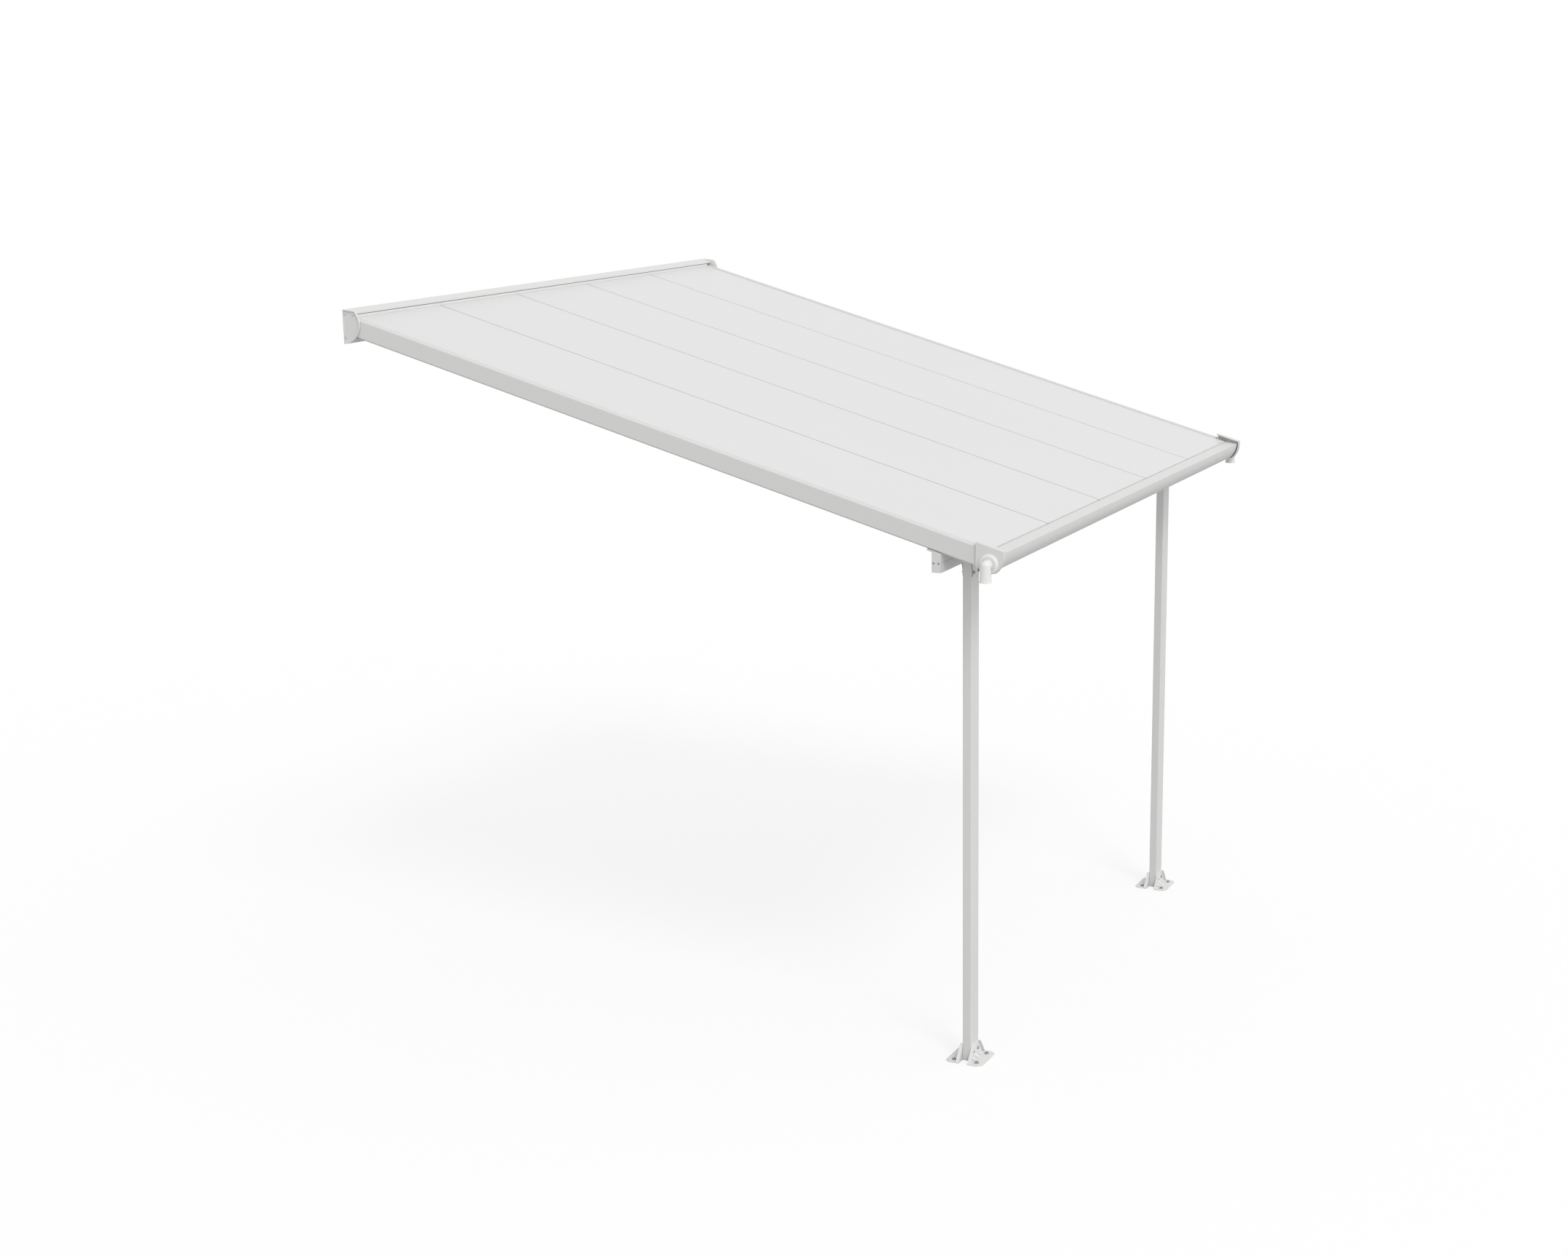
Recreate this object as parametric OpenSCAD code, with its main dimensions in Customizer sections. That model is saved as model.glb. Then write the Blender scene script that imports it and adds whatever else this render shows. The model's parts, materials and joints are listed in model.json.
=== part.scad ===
// Attached patio cover: five multiwall panels on rafters between a wall profile and a gutter,
// with a support beam on two posts. The origin is the middle of the wall profile's flat back.
// +X runs along the wall, +Y points into the wall and +Z is up.

/* [Roof] */
// Width of one roof panel
panel_width = 606; // [450:1:700]
// Gap between two panels, where the dark seal shows
joint_gap = 4; // [3:0.5:6]
// Thickness of a panel
panel_thickness = 16; // [12:1:20]
// Length of a panel down the slope
panel_length = 3000; // [2600:10:3400]
// Fall of the roof in degrees
roof_slope = 15; // [12:0.5:17]
// Distance between two ribs inside a panel
flute_pitch = 15.1; // [12:0.1:20]
// Thickness of a panel's top and bottom skins
skin = 1.2; // [0.8:0.1:2]
// Thickness of a panel's inner ribs
rib = 0.8; // [0.5:0.1:1.5]

/* [Wall profile] */
// Height of the wall profile and its end caps
wall_height = 144; // [138:1:160]
// Radius of the bowed front of the end caps
bow_radius = 82; // [80:0.5:90]
// Depth of the box that stands against the wall
wall_box_depth = 16.5; // [14:0.5:18]
// Height of the panels' upper edge over the middle of the wall profile
roof_start_height = 41; // [38:0.5:44]
// How far the cover strip reaches from the wall
cover_reach = 41; // [36:1:46]
// How far the cover strip falls over that reach
cover_drop = 14; // [10:0.5:15]
// Fall of the end cap's top edge
cap_top_drop = 6; // [4:0.5:8]
// Thickness of an end cap, rim included
wall_cap_thickness = 10; // [8:0.5:14]
// Diameter of the wall bolt holes, one behind the middle of each panel
wall_hole = 8.5; // [6:0.5:12]

/* [Rafters and side profiles] */
// Depth of a rafter under the panels' top
rafter_depth = 76; // [72:0.5:80]
// Width of a rafter's tube
rafter_width = 38; // [30:1:45]
// Width of the flange that carries the panels' edges
flange_width = 52; // [46:1:60]
// Wall thickness of the rafters and side profiles
profile_wall = 2; // [1.6:0.1:3]
// Height of a side profile's plain outer face
side_face_height = 72; // [66:0.5:74]
// How far a side profile's top lip stands over the panels
lip_height = 3.8; // [3:0.1:5]
// How far that lip reaches over the panel's edge
lip_overlap = 3; // [2:0.5:6]
// Width of a side profile's top
side_top_width = 32; // [30:1:38]

/* [Gutter] */
// How far the panels reach over the gutter's back
gutter_lap = 48.5; // [42:0.5:56]
// How far the gutter's front stands beyond the panels' ends
gutter_reach = 62; // [56:1:66]
// Depth of the gutter under the panels' top
gutter_depth = 70; // [64:1:76]
// Radius of the bowed front
gutter_bow = 90; // [84:1:100]
// Height of the gutter's front edge over the panels' top
gutter_rise = 5; // [3:0.5:7]
// Wall thickness of the gutter
gutter_wall = 2.5; // [2:0.1:3.5]
// Width of the gap that lets the water in behind the top strip
drain_gap = 3; // [2.5:0.5:8]
// Height of the gutter caps over the panels' top
cap_rise = 20; // [18:0.5:24]
// How far the gutter caps stand proud of the gutter's front
cap_proud = 10; // [8:0.5:12]
// How far the gutter caps reach inwards over the gutter
cap_skirt = 23; // [18:1:26]
// How far the gutter caps hang below the gutter's bottom
cap_below = 5; // [4.5:0.5:8]
// Wall thickness of the gutter caps
cap_wall = 4; // [3:0.5:4]

/* [Outlets] */
// Diameter of the round outlet flange
flange_diameter = 80; // [70:1:84]
// Depth of the round outlet flange
flange_depth = 12; // [11:1:18]
// Outer diameter of the elbow behind the spout
elbow_diameter = 40; // [36:1:42]
// Outer diameter of the spout's mouth, rim included
spout_diameter = 50; // [46:1:54]
// Wall thickness of the spout
spout_wall = 3; // [2:0.5:4]
// How far the spout's mouth lies below the flange's middle
spout_drop = 64; // [55:1:80]
// Distance from the gutter's back to the outlet's middle
outlet_back = 56; // [48:1:60]
// Height of the outlet's middle over the gutter's bottom
outlet_height = 24; // [16:1:30]

/* [Beam and posts] */
// Distance from the gutter's back to the middle of the beam and posts
beam_setback = 166; // [130:1:500]
// Depth of the beam and posts from front to back
post_depth = 38; // [36:0.5:42]
// Width of a post along the wall
post_width = 80; // [70:1:90]
// Distance from the roof's side to a post's outer face
post_inset = 303; // [100:1:600]
// Height of the beam's plain front
beam_height = 75; // [65:1:90]
// Wall thickness of the beam and posts
tube_wall = 2.5; // [2:0.1:4]
// Height of the wall profile's middle over the ground
wall_middle_height = 2967; // [2700:1:3300]
// Corner radius of the posts
post_corner = 3; // [2:0.5:4]

/* [Brackets] */
// How far a top plate reaches down the post
top_plate_drop = 72; // [66:1:90]
// Width of a top plate on the beam
top_plate_width = 150; // [120:1:170]
// Width of a foot bracket on the ground
foot_width = 168; // [150:1:190]
// How far a foot bracket reaches out over the ground
foot_reach = 63; // [55:1:75]
// Height of a foot bracket on the post
foot_height = 69; // [62:1:80]
// Width of a foot bracket's top
foot_top_width = 66; // [60:1:70]
// Thickness of the bracket plate
plate = 4; // [3:0.5:5]
// Distance between a foot bracket's two ground holes
ground_hole_spacing = 110; // [100:1:120]
// Diameter of the ground holes
ground_hole = 9; // [7:0.5:11]
// Distance between two screw holes on the post
post_hole_spacing = 47; // [40:1:50]
// Diameter of the screw holes on the post
post_hole = 6.5; // [5:0.5:8]

/* [Hidden] */
$fn = 64;

// Gap left between two pieces that seat on each other
seat = 0.3;
// How far a cut runs past the face that it opens
past = 1;
// Colours of the powder coat, the mouldings, the panels and the seals
coat = [0.90, 0.90, 0.89];
moulding = [0.92, 0.92, 0.90];
sheet = [0.87, 0.88, 0.87];
gasket = [0.32, 0.33, 0.33];

panel_count = 5;
joint_pitch = panel_width + joint_gap;
roof_half = panel_count * joint_pitch / 2 - joint_gap / 2;
side_inner = roof_half - lip_overlap;
side_outer = side_inner + side_top_width;
wall_half = side_outer;
wall_top = wall_height / 2;
bow_centre = bow_radius - wall_top;
// The cap's top edge falls over this distance from the wall
cap_top_run = 62;
// The wall profile ends this far above the bottom of its caps
wall_foot = 1.5;
flutes = floor((panel_width - 2 * rib) / flute_pitch);
flute_margin = (panel_width - flutes * flute_pitch) / 2;
// The panel's lower edge at the wall stands seat away from the box
roof_start = wall_box_depth + seat + panel_thickness * sin(roof_slope);
underside = panel_thickness + seat;
cover_thickness = 2.5;
reach = 5000;

gutter_end = side_outer + cap_wall;
cap_outer = gutter_end + seat + cap_wall;
gutter_back = roof_start + (panel_length - gutter_lap) * cos(roof_slope);
strip_start = panel_length + drain_gap;
// The gutter's bow bulges most at this depth under the panels
bow_depth = 18;
gutter_front = panel_length + gutter_reach;
bow_middle = gutter_front - gutter_bow;

ground = -wall_middle_height;
beam_distance = gutter_back - beam_setback;
beam_front = -beam_distance - post_depth / 2;
beam_back = -beam_distance + post_depth / 2;
beam_top_seat = rafter_depth + seat;
beam_bottom = roof_z(beam_front, -beam_top_seat) - beam_height;
post_middle = side_outer - post_inset - post_width / 2;
elbow_bore = elbow_diameter - 2 * spout_wall;
outlet_y = -gutter_back - outlet_back;
outlet_z = roof_z(outlet_y, -gutter_depth + outlet_height);

// Height of the plane that lies h over the panels' top, at a distance y from the wall
function roof_z(y, h) = roof_start_height + (y + roof_start) * tan(roof_slope) + h / cos(roof_slope);

// Places pieces on the roof: -Y runs down the slope and Z stands square on the panels
module on_roof() {
    translate([0, -roof_start, roof_start_height])
        rotate([roof_slope, 0, 0])
            children();
}

// Places a section, drawn as distance from the wall and height, on the roof's plane
module section_on_roof() {
    translate([-roof_start, roof_start_height])
        rotate(roof_slope)
            children();
}

// Extrudes a section drawn in Y and Z along the wall
module along_wall(length) {
    rotate([90, 0, 90])
        linear_extrude(length, center = true)
            children();
}

// Extrudes a section drawn in X and Z down the slope
module down_slope(length) {
    rotate([90, 0, 0])
        linear_extrude(length)
            children();
}

// Keeps what lies between two plumb planes, given as distances from the wall
module between_plumb(near, far) {
    intersection() {
        children();
        translate([-reach / 2, -far, -reach / 2])
            cube([reach, far - near, reach]);
    }
}

// Section of the D-shaped wall profile caps, smaller by inset all round
module wall_bow(inset) {
    intersection() {
        translate([0, bow_centre])
            circle(bow_radius - inset, $fn = 128);
        polygon([
            [-inset, -wall_top],
            [-inset, wall_top - inset],
            [-bow_radius, wall_top - inset - cap_top_drop * bow_radius / cap_top_run],
            [-bow_radius, -wall_top]
        ]);
    }
}

// Wall profile: a box against the wall and a bowed shelf under the rafters
module wall_section(inset) {
    cover_fall = cover_drop / cover_reach;
    box_top = wall_top - cover_thickness - seat;
    polygon([
        [-inset, -wall_top + wall_foot + inset],
        [-inset, box_top - inset],
        [-wall_box_depth + inset, box_top - wall_box_depth * cover_fall - inset],
        [-wall_box_depth + inset, -wall_top + wall_foot + inset]
    ]);
}

module shelf_section(inset) {
    intersection() {
        wall_bow(inset);
        section_on_roof()
            translate([-reach / 2, -reach - rafter_depth - seat - inset])
                square([reach, reach]);
    }
}

module wall_profile() {
    color(coat)
        difference() {
            along_wall(2 * wall_half)
                difference() {
                    union() {
                        wall_section(0);
                        shelf_section(0);
                    }
                    wall_section(tube_wall);
                    difference() {
                        shelf_section(tube_wall);
                        translate([-wall_box_depth, -wall_top])
                            square([wall_box_depth, wall_height]);
                    }
                }
            for (number = [1 : panel_count])
                translate([(number - (panel_count + 1) / 2) * joint_pitch, -wall_box_depth / 2, 0])
                    rotate([90, 0, 0])
                        cylinder(2 * wall_box_depth, d = wall_hole, center = true, $fn = 32);
        }
}

// Cover strip over the panels' upper edge, with a turned down lip
module wall_cover() {
    lip = 7;
    color(coat)
        along_wall(2 * wall_half)
            polygon([
                [0, wall_top],
                [0, wall_top - cover_thickness],
                [-cover_reach + cover_thickness, wall_top - cover_drop - cover_thickness],
                [-cover_reach + cover_thickness, wall_top - cover_drop - lip],
                [-cover_reach, wall_top - cover_drop - lip],
                [-cover_reach, wall_top - cover_drop]
            ]);
}

// Closure strip that stands on the panels under the cover strip's lip
module closure_strip() {
    width = 8;
    front = -cover_reach + cover_thickness + seat;
    fall = cover_drop / (cover_reach - cover_thickness);
    top = wall_top - cover_thickness - seat;
    color(moulding)
        along_wall(2 * (side_inner - seat))
            polygon([
                [front, roof_z(front, seat)],
                [front, top + front * fall],
                [front + width, top + (front + width) * fall],
                [front + width, roof_z(front + width, seat)]
            ]);
}

// Cap with a raised rim round a sunk face; side is -1 on the left and 1 on the right
module wall_cap(side) {
    plate_depth = 4;
    rim_width = 4;
    color(moulding)
        translate([side * (wall_half + seat + wall_cap_thickness / 2), 0, 0])
            difference() {
                along_wall(wall_cap_thickness)
                    wall_bow(0);
                translate([side * plate_depth, 0, 0])
                    along_wall(wall_cap_thickness)
                        wall_bow(rim_width);
            }
}

// Multiwall panel with a row of hollow flutes from end to end
module roof_panel(number) {
    middle = (number - (panel_count + 1) / 2) * joint_pitch;
    color(sheet)
        on_roof()
            translate([middle - panel_width / 2, 0, -panel_thickness])
                down_slope(panel_length)
                    difference() {
                        square([panel_width, panel_thickness]);
                        for (i = [0 : flutes - 1])
                            translate([flute_margin + i * flute_pitch + rib / 2, skin])
                                square([flute_pitch - rib, panel_thickness - 2 * skin]);
                    }
}

// Rafter under a joint: a tube, a flange for the panels' edges and a stem in the joint
module rafter(number) {
    middle = (number - panel_count / 2) * joint_pitch;
    stem = 1.6;
    color(coat)
        between_plumb(wall_box_depth + seat, gutter_back - seat)
            on_roof()
                translate([middle, reach / 4, 0])
                    down_slope(reach)
                        difference() {
                            union() {
                                translate([-rafter_width / 2, -rafter_depth])
                                    square([rafter_width, rafter_depth - underside]);
                                translate([-flange_width / 2, -underside - profile_wall])
                                    square([flange_width, profile_wall]);
                                translate([-stem / 2, -underside])
                                    square([stem, panel_thickness / 2]);
                            }
                            translate([-rafter_width / 2 + profile_wall, -rafter_depth + profile_wall])
                                square([
                                    rafter_width - 2 * profile_wall,
                                    rafter_depth - underside - 2 * profile_wall
                                ]);
                        }
}

// Dark strip that closes a joint, held by the rafter's stem
module joint_seal(number) {
    middle = (number - panel_count / 2) * joint_pitch;
    width = joint_gap - 2 * seat;
    sunk = 0.8;
    bottom = -underside + panel_thickness / 2 + seat;
    color(gasket)
        on_roof()
            translate([middle - width / 2, 0, bottom])
                down_slope(panel_length)
                    square([width, -sunk - bottom]);
}

// Section of the right side profile: plain face, rounded top lip, ledge and tube
module side_section() {
    face_bottom = lip_height - side_face_height;
    corner = 6;
    tube_under = 14;
    face_gap = 8;
    skin_wall = 2.5;
    tube_corner = 3;
    tube_inner = roof_half - tube_under;
    tube_outer = side_outer - face_gap;
    difference() {
        union() {
            translate([side_outer - skin_wall, face_bottom])
                square([skin_wall, side_face_height - corner]);
            translate([side_outer - corner, lip_height - corner])
                circle(corner);
            translate([side_inner, seat])
                square([side_top_width - corner, lip_height - seat]);
            translate([(tube_inner + tube_outer) / 2, -(rafter_depth + underside) / 2])
                rounded(tube_outer - tube_inner, rafter_depth - underside, tube_corner);
            translate([tube_outer - skin_wall, -underside])
                square([skin_wall, underside + seat]);
            translate([tube_outer - profile_wall, face_bottom])
                square([side_outer - tube_outer, skin_wall]);
        }
        translate([tube_inner + profile_wall, -rafter_depth + profile_wall])
            square([
                tube_outer - tube_inner - 2 * profile_wall,
                rafter_depth - underside - 2 * profile_wall
            ]);
        translate([side_outer - corner - skin_wall, -corner])
            square([corner, corner]);
    }
}

module side_profile(side) {
    color(coat)
        between_plumb(wall_box_depth + seat, gutter_back - seat)
            on_roof()
                translate([0, reach / 4, 0])
                    down_slope(reach)
                        scale([side, 1])
                            side_section();
}

// Outline of the gutter in distance down the slope (as -Y) and height over the panels
module gutter_outline(inset) {
    strip_step = 2.5;
    intersection() {
        section_on_roof()
            intersection() {
                translate([-bow_middle, -bow_depth])
                    circle(gutter_bow - inset, $fn = 128);
                polygon([
                    [0, -gutter_depth + inset],
                    [0, -underside - inset],
                    [-panel_length + inset, -underside - inset],
                    [-strip_start - inset, -strip_step - inset],
                    [-gutter_front, gutter_rise - inset],
                    [-gutter_front, -gutter_depth + inset]
                ]);
            }
        translate([-gutter_back - inset - reach, -reach / 2])
            square([reach, reach]);
    }
}

module gutter() {
    ledge = 10;
    mouth_back = panel_length - gutter_lap + underside * tan(roof_slope) + ledge;
    color(coat)
        along_wall(2 * gutter_end)
            difference() {
                gutter_outline(0);
                gutter_outline(gutter_wall);
                section_on_roof()
                    translate([-strip_start, -underside - 2 * gutter_wall])
                        square([strip_start - mouth_back, underside + 3 * gutter_wall]);
            }
}

// Outline of a gutter cap: proud of the gutter's front and top, and plumb at the back
module gutter_cap_outline(inset, behind) {
    intersection() {
        section_on_roof()
            intersection() {
                translate([-bow_middle, -bow_depth])
                    circle(gutter_bow + cap_proud - inset, $fn = 128);
                translate([-gutter_front - cap_proud, -gutter_depth - cap_below + inset])
                    square([gutter_front, gutter_depth + cap_below + cap_rise - 2 * inset]);
            }
        translate([-gutter_back + behind - reach, -reach / 2])
            square([reach, reach]);
    }
}

module gutter_cap(side) {
    depth = cap_skirt + cap_wall;
    color(moulding)
        difference() {
            union() {
                translate([side * (cap_outer - depth / 2), 0, 0])
                    along_wall(depth)
                        gutter_cap_outline(0, 0);
                translate([side * (cap_outer - cap_wall / 2), outlet_y, outlet_z])
                    rotate([0, 90, 0])
                        cylinder(cap_wall, d = flange_diameter, center = true);
            }
            translate([side * (cap_outer - depth / 2 - cap_wall), 0, 0])
                along_wall(depth)
                    gutter_cap_outline(cap_wall, cap_wall);
            translate([side * cap_outer, outlet_y, outlet_z])
                rotate([0, 90, 0])
                    cylinder(2 * (cap_wall + past), d = elbow_bore, center = true);
        }
}

// Round domed flange on the outer face of a gutter cap, with a groove round its collar
module outlet_flange(side) {
    edge = 9;
    groove = 2.5;
    collar = 4;
    radius = flange_diameter / 2;
    collar_radius = elbow_diameter / 2 + collar;
    color(moulding)
        translate([side * (cap_outer + seat), outlet_y, outlet_z])
            rotate([0, side * 90, 0])
                rotate_extrude($fn = 96)
                    difference() {
                        union() {
                            square([radius, flange_depth - edge]);
                            square([radius - edge, flange_depth]);
                            translate([radius - edge, flange_depth - edge])
                                circle(edge);
                        }
                        translate([0, -edge])
                            square([radius, edge]);
                        square([elbow_bore / 2, flange_depth]);
                        translate([collar_radius, flange_depth - groove])
                            square([groove, groove + past]);
                    }
}

// Elbow that turns the water down: a ball on a short stub, and a spout that widens to its mouth
module outlet_elbow(side) {
    stub = 2;
    rim = 1.5;
    rim_height = 4;
    axis = stub + elbow_diameter / 2;
    mouth_radius = spout_diameter / 2;
    color(moulding)
        translate([side * (cap_outer + 2 * seat + flange_depth), outlet_y, outlet_z])
            difference() {
                union() {
                    rotate([0, side * 90, 0])
                        cylinder(axis, d = elbow_diameter);
                    translate([side * axis, 0, 0])
                        sphere(elbow_diameter / 2);
                    translate([side * axis, 0, -spout_drop])
                        cylinder(spout_drop, r1 = mouth_radius - rim, r2 = elbow_diameter / 2);
                    translate([side * axis, 0, -spout_drop])
                        cylinder(rim_height, r = mouth_radius);
                }
                rotate([0, side * 90, 0])
                    translate([0, 0, -past])
                        cylinder(axis + past, d = elbow_bore);
                translate([side * axis, 0, 0])
                    sphere(elbow_bore / 2);
                translate([side * axis, 0, -spout_drop - past])
                    cylinder(spout_drop + past, r1 = mouth_radius - rim - spout_wall, r2 = elbow_bore / 2);
            }
}

// Section of the beam's tube, whose top lies on the roof's slope
module beam_tube(inset) {
    intersection() {
        translate([beam_front + inset, beam_bottom + inset])
            square([post_depth - 2 * inset, reach]);
        section_on_roof()
            translate([-reach, -reach - beam_top_seat - inset])
                square([reach, reach]);
    }
}

module support_beam() {
    lip = 22;
    lip_thickness = 6;
    groove = 3;
    color(coat)
        along_wall(2 * side_outer)
            difference() {
                union() {
                    beam_tube(0);
                    intersection() {
                        section_on_roof()
                            translate([-reach, -beam_top_seat - lip_thickness])
                                square([reach, lip_thickness]);
                        translate([beam_back - tube_wall, -reach])
                            square([lip + tube_wall, 2 * reach]);
                    }
                }
                beam_tube(tube_wall);
                translate([beam_front - past, beam_bottom + beam_height / 2])
                    square([past + tube_wall / 2, groove]);
            }
}

module beam_cap(side) {
    thickness = 3;
    screw = 4.5;
    screw_edge = 8;
    color(moulding)
        translate([side * (side_outer + seat + thickness / 2), 0, 0])
            difference() {
                along_wall(thickness)
                    beam_tube(0);
                for (y = [beam_front + screw_edge, beam_back - screw_edge])
                    translate([0, y, beam_bottom + beam_height / 2])
                        rotate([0, 90, 0])
                            cylinder(2 * thickness, d = screw, center = true, $fn = 24);
            }
}

// Rectangle with rounded corners, made of arcs
module rounded(width, depth, corner) {
    square([width - 2 * corner, depth], center = true);
    square([width, depth - 2 * corner], center = true);
    for (x = [-1, 1], y = [-1, 1])
        translate([x * (width / 2 - corner), y * (depth / 2 - corner)])
            circle(corner, $fn = 32);
}

module post(side) {
    color(coat)
        translate([side * post_middle, -beam_distance, ground])
            linear_extrude(beam_bottom - seat - ground)
                difference() {
                    rounded(post_width, post_depth, post_corner);
                    rounded(post_width - 2 * tube_wall, post_depth - 2 * tube_wall, post_corner - tube_wall / 2);
                }
}

// Plate with hollowed edges that ties the beam to a post; front is -1 and back is 1
module top_plate(side, face) {
    thickness = 3;
    beam_part = 30;
    screw_drop = 56;
    fillet_width = (top_plate_width - foot_top_width) / 2;
    fillet_height = 60;
    color(coat)
        translate([side * post_middle, -beam_distance + face * (post_depth / 2 + seat), beam_bottom])
            scale([1, -face, 1])
                rotate([90, 0, 0])
                    linear_extrude(thickness)
                        difference() {
                            union() {
                                translate([-top_plate_width / 2, 0])
                                    square([top_plate_width, beam_part]);
                                translate([-foot_top_width / 2, -top_plate_drop])
                                    square([foot_top_width, top_plate_drop]);
                                for (x = [-1, 1])
                                    scale([x, 1])
                                        translate([foot_top_width / 2, -fillet_height])
                                            difference() {
                                                square([fillet_width, fillet_height]);
                                                translate([fillet_width, 0])
                                                    scale([fillet_width, fillet_height])
                                                        circle(1);
                                            }
                            }
                            for (x = [-1, 1], z = [beam_part / 2, -screw_drop])
                                translate([x * post_hole_spacing / 2, z])
                                    circle(d = post_hole, $fn = 24);
                        }
}

// Sloping outline of a foot bracket's upright
module foot_upright(inset) {
    polygon([
        [-foot_width / 2 + inset, 0],
        [foot_width / 2 - inset, 0],
        [foot_top_width / 2 - inset, foot_height],
        [-foot_top_width / 2 + inset, foot_height]
    ]);
}

// Pressed bracket: base on the ground, upright on the post, turned edges beside it
module foot(side, face) {
    corner = 18;
    turned = 10;
    upright_hole_height = 38;
    slot_height = 18;
    slot_length = 12;
    color(coat)
        translate([side * post_middle, -beam_distance + face * (post_depth / 2 + seat), ground])
            scale([1, -face, 1]) {
                linear_extrude(plate)
                    difference() {
                        polygon([
                            [-foot_width / 2, 0],
                            [-foot_width / 2, -foot_reach + corner],
                            [-foot_width / 2 + corner, -foot_reach],
                            [foot_width / 2 - corner, -foot_reach],
                            [foot_width / 2, -foot_reach + corner],
                            [foot_width / 2, 0]
                        ]);
                        for (x = [-1, 1])
                            translate([x * ground_hole_spacing / 2, -foot_reach / 2])
                                circle(d = ground_hole, $fn = 24);
                    }
                rotate([90, 0, 0])
                    linear_extrude(plate)
                        difference() {
                            foot_upright(0);
                            for (x = [-1, 1]) {
                                translate([x * post_hole_spacing / 2, upright_hole_height])
                                    circle(d = post_hole, $fn = 24);
                                translate([x * post_hole_spacing / 2, slot_height])
                                    square([post_hole, slot_length], center = true);
                            }
                        }
                rotate([90, 0, 0])
                    linear_extrude(plate + turned)
                        difference() {
                            foot_upright(0);
                            foot_upright(plate);
                        }
            }
}

wall_profile();
wall_cover();
closure_strip();
wall_cap(-1);  // wall_cap_left
wall_cap(1);  // wall_cap_right
roof_panel(1);  // roof_panel_1
roof_panel(2);  // roof_panel_2
roof_panel(3);  // roof_panel_3
roof_panel(4);  // roof_panel_4
roof_panel(5);  // roof_panel_5
rafter(1);  // rafter_1
rafter(2);  // rafter_2
rafter(3);  // rafter_3
rafter(4);  // rafter_4
joint_seal(1);  // joint_seal_1
joint_seal(2);  // joint_seal_2
joint_seal(3);  // joint_seal_3
joint_seal(4);  // joint_seal_4
side_profile(-1);  // side_profile_left
side_profile(1);  // side_profile_right
gutter();
gutter_cap(-1);  // gutter_cap_left
gutter_cap(1);  // gutter_cap_right
outlet_flange(-1);  // outlet_flange_left
outlet_flange(1);  // outlet_flange_right
outlet_elbow(-1);  // outlet_elbow_left
outlet_elbow(1);  // outlet_elbow_right
support_beam();
beam_cap(-1);  // beam_cap_left
beam_cap(1);  // beam_cap_right
post(-1);  // post_left
post(1);  // post_right
top_plate(-1, -1);  // top_plate_front_left
top_plate(-1, 1);  // top_plate_back_left
top_plate(1, -1);  // top_plate_front_right
top_plate(1, 1);  // top_plate_back_right
foot(-1, -1);  // foot_front_left
foot(-1, 1);  // foot_back_left
foot(1, -1);  // foot_front_right
foot(1, 1);  // foot_back_right
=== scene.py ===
# %% [markdown]
# # A white patio cover
# The solids of the cover come in as a fixed frame: profiles, panels, gutter, beam, posts and
# brackets. This lesson gives each one its finish, rounds the edges that catch the light, adds
# the screws and small mouldings that a fitter would see, and lights it all in a pale studio.

# %% Load the frame
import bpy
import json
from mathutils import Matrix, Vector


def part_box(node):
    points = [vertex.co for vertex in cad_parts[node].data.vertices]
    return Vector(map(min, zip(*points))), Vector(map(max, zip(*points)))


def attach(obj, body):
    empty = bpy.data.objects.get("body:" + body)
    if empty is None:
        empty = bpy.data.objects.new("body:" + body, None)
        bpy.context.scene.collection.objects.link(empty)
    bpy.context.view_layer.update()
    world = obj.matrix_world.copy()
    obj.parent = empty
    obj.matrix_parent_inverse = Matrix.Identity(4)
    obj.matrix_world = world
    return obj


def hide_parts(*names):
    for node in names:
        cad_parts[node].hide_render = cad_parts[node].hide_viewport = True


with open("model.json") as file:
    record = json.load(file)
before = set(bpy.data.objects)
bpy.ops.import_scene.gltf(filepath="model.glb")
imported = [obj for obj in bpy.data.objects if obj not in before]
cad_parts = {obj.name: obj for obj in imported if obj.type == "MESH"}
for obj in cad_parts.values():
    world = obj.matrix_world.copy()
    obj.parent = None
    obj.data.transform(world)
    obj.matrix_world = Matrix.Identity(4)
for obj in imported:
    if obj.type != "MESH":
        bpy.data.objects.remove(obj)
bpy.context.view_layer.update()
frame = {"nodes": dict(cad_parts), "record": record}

# %% Modules and units
import json
import math
import bmesh
import bpy
from mathutils import Matrix, Vector

MM = 0.001
NODES = frame["nodes"]
MOUNTS = {mount["name"]: mount for mount in frame["record"]["mounts"]}
print(len(NODES), "nodes,", len(MOUNTS), "mounts")

# %% [markdown]
# ## The camera
# The view is from the left, a little above the gutter, with a long lens. The posts stay upright
# in the picture, so the lens was shifted a little instead of tilted more. The place and the lens
# were worked out from the panel joints, the cover strip and the edges of the posts.

# %% Camera
IMAGE_WIDTH = 2156
IMAGE_HEIGHT = 1725
FOCAL_PIXELS = 3341.0
CENTRE_X_PIXEL = 1321.6
CENTRE_Y_PIXEL = 905.1
SENSOR = 36.0
CAMERA_PLACE = (-9.9608, -6.3785, 1.0325)
CAMERA_DROP = 13.538
CAMERA_TURN = -67.0

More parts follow.
